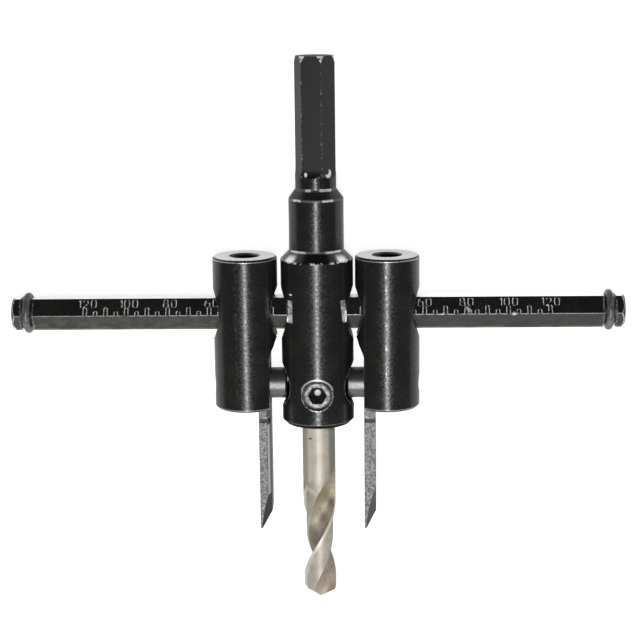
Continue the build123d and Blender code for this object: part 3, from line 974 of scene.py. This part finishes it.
digit_strokes = {
    "0": [loop((0.5, 0.5), (0.5, 0.5))],
    "1": [line((0.2, 0.8), (0.5, 1.0)), line((0.5, 0.0), (0.5, 1.0))],
    "2": [bend((0.5, 0.7), (0.5, 0.3), 170, -40, (0.0, 0.0), (1.0, 0.0))],
    "4": [line((0.95, 0.3), (0.0, 0.3), (0.65, 1.0), (0.65, 0.0))],
    "6": [loop((0.5, 0.3), (0.5, 0.3)), bend((0.75, 0.3), (0.75, 0.7), 180, 95)],
    "8": [loop((0.5, 0.26), (0.5, 0.26)), loop((0.5, 0.76), (0.42, 0.24))],
}


def number_strokes(text, place):
    """Strokes of a number, centred on place, as points along and up the face."""
    advances = [one_advance if digit == "1" else number_advance for digit in text[:-1]]
    starts = np.concatenate([[0.0], np.cumsum(advances)])
    start = place - (starts[-1] + number_width) / 2
    strokes = []
    for digit, offset in zip(text, starts):
        for points, closed in digit_strokes[digit]:
            scaled = points * np.array([number_width, number_height])
            strokes.append((scaled + np.array([start + offset, number_base]), closed))
    return strokes


def tick_strokes(place, height):
    """Edge round a stamped mark: up one side, round its top and down the other."""
    reach = tick_half_width + edge_half_width / 2
    turn = np.linspace(math.pi, 0, 7)
    top = np.stack([reach * np.cos(turn), height - tick_half_width + reach * np.sin(turn)], 1)
    points = np.vstack([[[-reach, tick_start]], top, [[reach, tick_start]]])
    return [(points + np.array([place, 0.0]), False)]


def unit(vectors):
    """The vectors brought to length one."""
    return vectors / np.linalg.norm(vectors, axis=1, keepdims=True)


def ridge(points, closed, half_width):
    """Low closed ridge along a line on a face, as points along, up and out of it, with its faces.

    Each section stands across the line's mean direction there. It is an arch with a base below the face.
    """
    ahead = np.roll(points, -1, 0) - points
    behind = points - np.roll(points, 1, 0)
    if not closed:
        ahead[-1], behind[0] = behind[-1], ahead[0]
    along = unit(unit(ahead) + unit(behind))
    widen = 1 / np.clip((along * unit(ahead)).sum(1), 0.6, 1.0)
    side = np.stack([along[:, 1], -along[:, 0]], 1)
    sides = np.array(edge_across) * half_width
    flat = points[:, None] + side[:, None] * (widen[:, None] * sides)[:, :, None]
    grid = np.concatenate([flat, np.broadcast_to(edge_heights, flat.shape[:2])[:, :, None]], 2)
    sections, across = flat.shape[:2]
    faces = ring_faces(sections, across, closed)
    return grid.reshape(-1, 3), faces, np.repeat(abs(along[:, 1]), across)


def scale_marks():
    """Numbers and mark edges of both arms, one piece an arm."""
    material = mark_finish()
    first_place = abs(holder_x["left"]) - reading_edge
    for name, side in (("left", -1), ("right", 1)):
        vertices, faces, upright = [], [], []
        shift = left_number_shift if side < 0 else 0.0
        for reading in range(scale_first, scale_last + 1, scale_step):
            place = side * (first_place + (reading - scale_first) / 2)
            height = tick_long if reading % (2 * scale_step) == 0 else tick_short
            strokes = [(*stroke, edge_half_width) for stroke in tick_strokes(place, height)]
            if reading >= first_number and (reading - first_number) % number_step == 0:
                number = number_strokes(str(reading), place + shift)
                strokes += [(*stroke, stroke_half_width) for stroke in number]
            for points, closed, half_width in strokes:
                grid, quads, steep = ridge(points, closed, half_width)
                start = sum(len(part) for part in vertices)
                vertices.append(grid)
                faces += [tuple(start + k for k in quad) for quad in quads]
                upright.append(steep)
        along, up, out = np.vstack(vertices).T
        slope, fall = math.sqrt(0.75), 0.5
        spots = np.stack([along, slope * up + fall * out, bar_corner - fall * up + slope * out], 1)
        add_mesh(f"{name}_scale_edges", "arbor", material, spots, faces, {"upright": np.concatenate(upright)})


def dress(node, material):
    """Gives a node's object its finish."""
    mesh = frame["nodes"][node].data
    mesh.materials.clear()
    mesh.materials.append(material)


def dress_all():
    """Gives every node its finish, except the drill, which has its own piece."""
    dress("arbor_body", body_finish())
    dress("scale_bar", bar_finish())
    rubber = rubber_finish()
    dress("drill_lock_screw", drill_screw_finish())
    for side in ("left", "right"):
        dress(f"{side}_holder", holder_finish(side))
        dress(f"{side}_blade", blade_finish(side))
        dress(f"{side}_lock_screw", screw_finish(f"{side}_lock_screw"))
        dress(f"{side}_blade_screw", screw_finish(f"{side}_blade_screw"))
        dress(f"{side}_stop_ring", rubber)


# Studio
floor_half = 1500.0
camera_floor_glow = 0.9
mirrored_floor_glow = 0.6
area_lamp_share = 4.0
key_height = 620.0
key_centre = -150.0
key_width = 60.0
key_length = 520.0
key_radiance = 27.0
room_level = 0.13
drill_side_level = 1.5
shank_side_level = 0.04


def panel(name, centre, width, length, radiance):
    """Lamp panel of even radiance, width along X, that faces the middle of the bar."""
    data = bpy.data.lights.new(name, "AREA")
    data.shape = "RECTANGLE"
    data.size, data.size_y = width / 1000, length / 1000
    data.energy = radiance * area_lamp_share * data.size * data.size_y
    obj = bpy.data.objects.new(name, data)
    bpy.context.scene.collection.objects.link(obj)
    back = np.array(centre, float)
    back /= np.linalg.norm(back)
    aside = np.cross((0.0, 1.0, 0.0), back)
    aside /= np.linalg.norm(aside)
    matrix = np.identity(4)
    matrix[:3, 0], matrix[:3, 1], matrix[:3, 2] = aside, np.cross(back, aside), back
    matrix[:3, 3] = tool_point(*centre)
    obj.matrix_world = Matrix(matrix.tolist())


def world():
    """White for camera rays. Other rays see a room that is dark in front and darker behind the shank."""
    made = bpy.data.worlds.new("studio")
    bpy.context.scene.world = made
    shader = Shader(made)
    _, along, up = shader.split(shader.node("ShaderNodeTexCoord", output="Generated"))
    towards_drill = (-along).ramp(0.35, 0.85) * up.ramp(0.8, 0.45)
    towards_shank = along.ramp(-0.35, 0.15)
    room = room_level + (drill_side_level - room_level) * towards_drill
    room = room - (room_level - shank_side_level) * towards_shank
    seen = shader.node("ShaderNodeLightPath", output="Is Camera Ray")
    strength = seen + (1.0 - seen) * room
    light = shader.node("ShaderNodeBackground", inputs={"Color": grey(255), "Strength": strength})
    shader.node("ShaderNodeOutputWorld", inputs={"Surface": light}, output=None)


def floor():
    """White floor that the tool lies on. Camera rays see its colour with the tool's shadow.

    Its reflection is dimmer beside the shank and brighter just above the bar's arms, as the
    photograph's reflections are.
    """
    corners = ((-1, -1), (1, -1), (1, 1), (-1, 1))
    spots = [tuple(tool_point(floor_half * x, floor_half * y, -origin[2])) for x, y in corners]
    mesh = bpy.data.meshes.new("floor")
    mesh.from_pydata(spots, [], [(0, 1, 2, 3)])
    obj = bpy.data.objects.new("floor", mesh)
    bpy.context.scene.collection.objects.link(obj)
    material = bpy.data.materials.new("floor_white")
    shader = Shader(material)
    camera_ray, mirrored_ray = shader.seen_rays()
    x, y, _ = shader.split(shader.tool_position())
    beside_shank = abs(x).ramp(22.0, 14.0) * y.ramp(20.0, 30.0)
    beside_bar = y.near(6.5, 3.5, 3.0) * (0.15 * x.ramp(-20.0, -30.0) + 0.4 * x.ramp(20.0, 30.0))
    mirrored_glow = mirrored_floor_glow * (1.0 - 0.6 * beside_shank) + beside_bar
    glow = (camera_ray * camera_floor_glow).either(mirrored_ray * mirrored_glow)
    fixed = {
        "Base Color": grey(170),
        "Roughness": 0.9,
        "Specular IOR Level": 0.0,
        "Emission Color": grey(255),
    }
    shader.surface(fixed, {"Emission Strength": glow})
    mesh.materials.append(material)


camera()
dress_all()
scale_marks()
pilot_drill()
recess_backs()
world()
panel("key", (0.0, key_centre, key_height), key_width, key_length, key_radiance)
floor()
bpy.context.scene.view_settings.view_transform = "Standard"
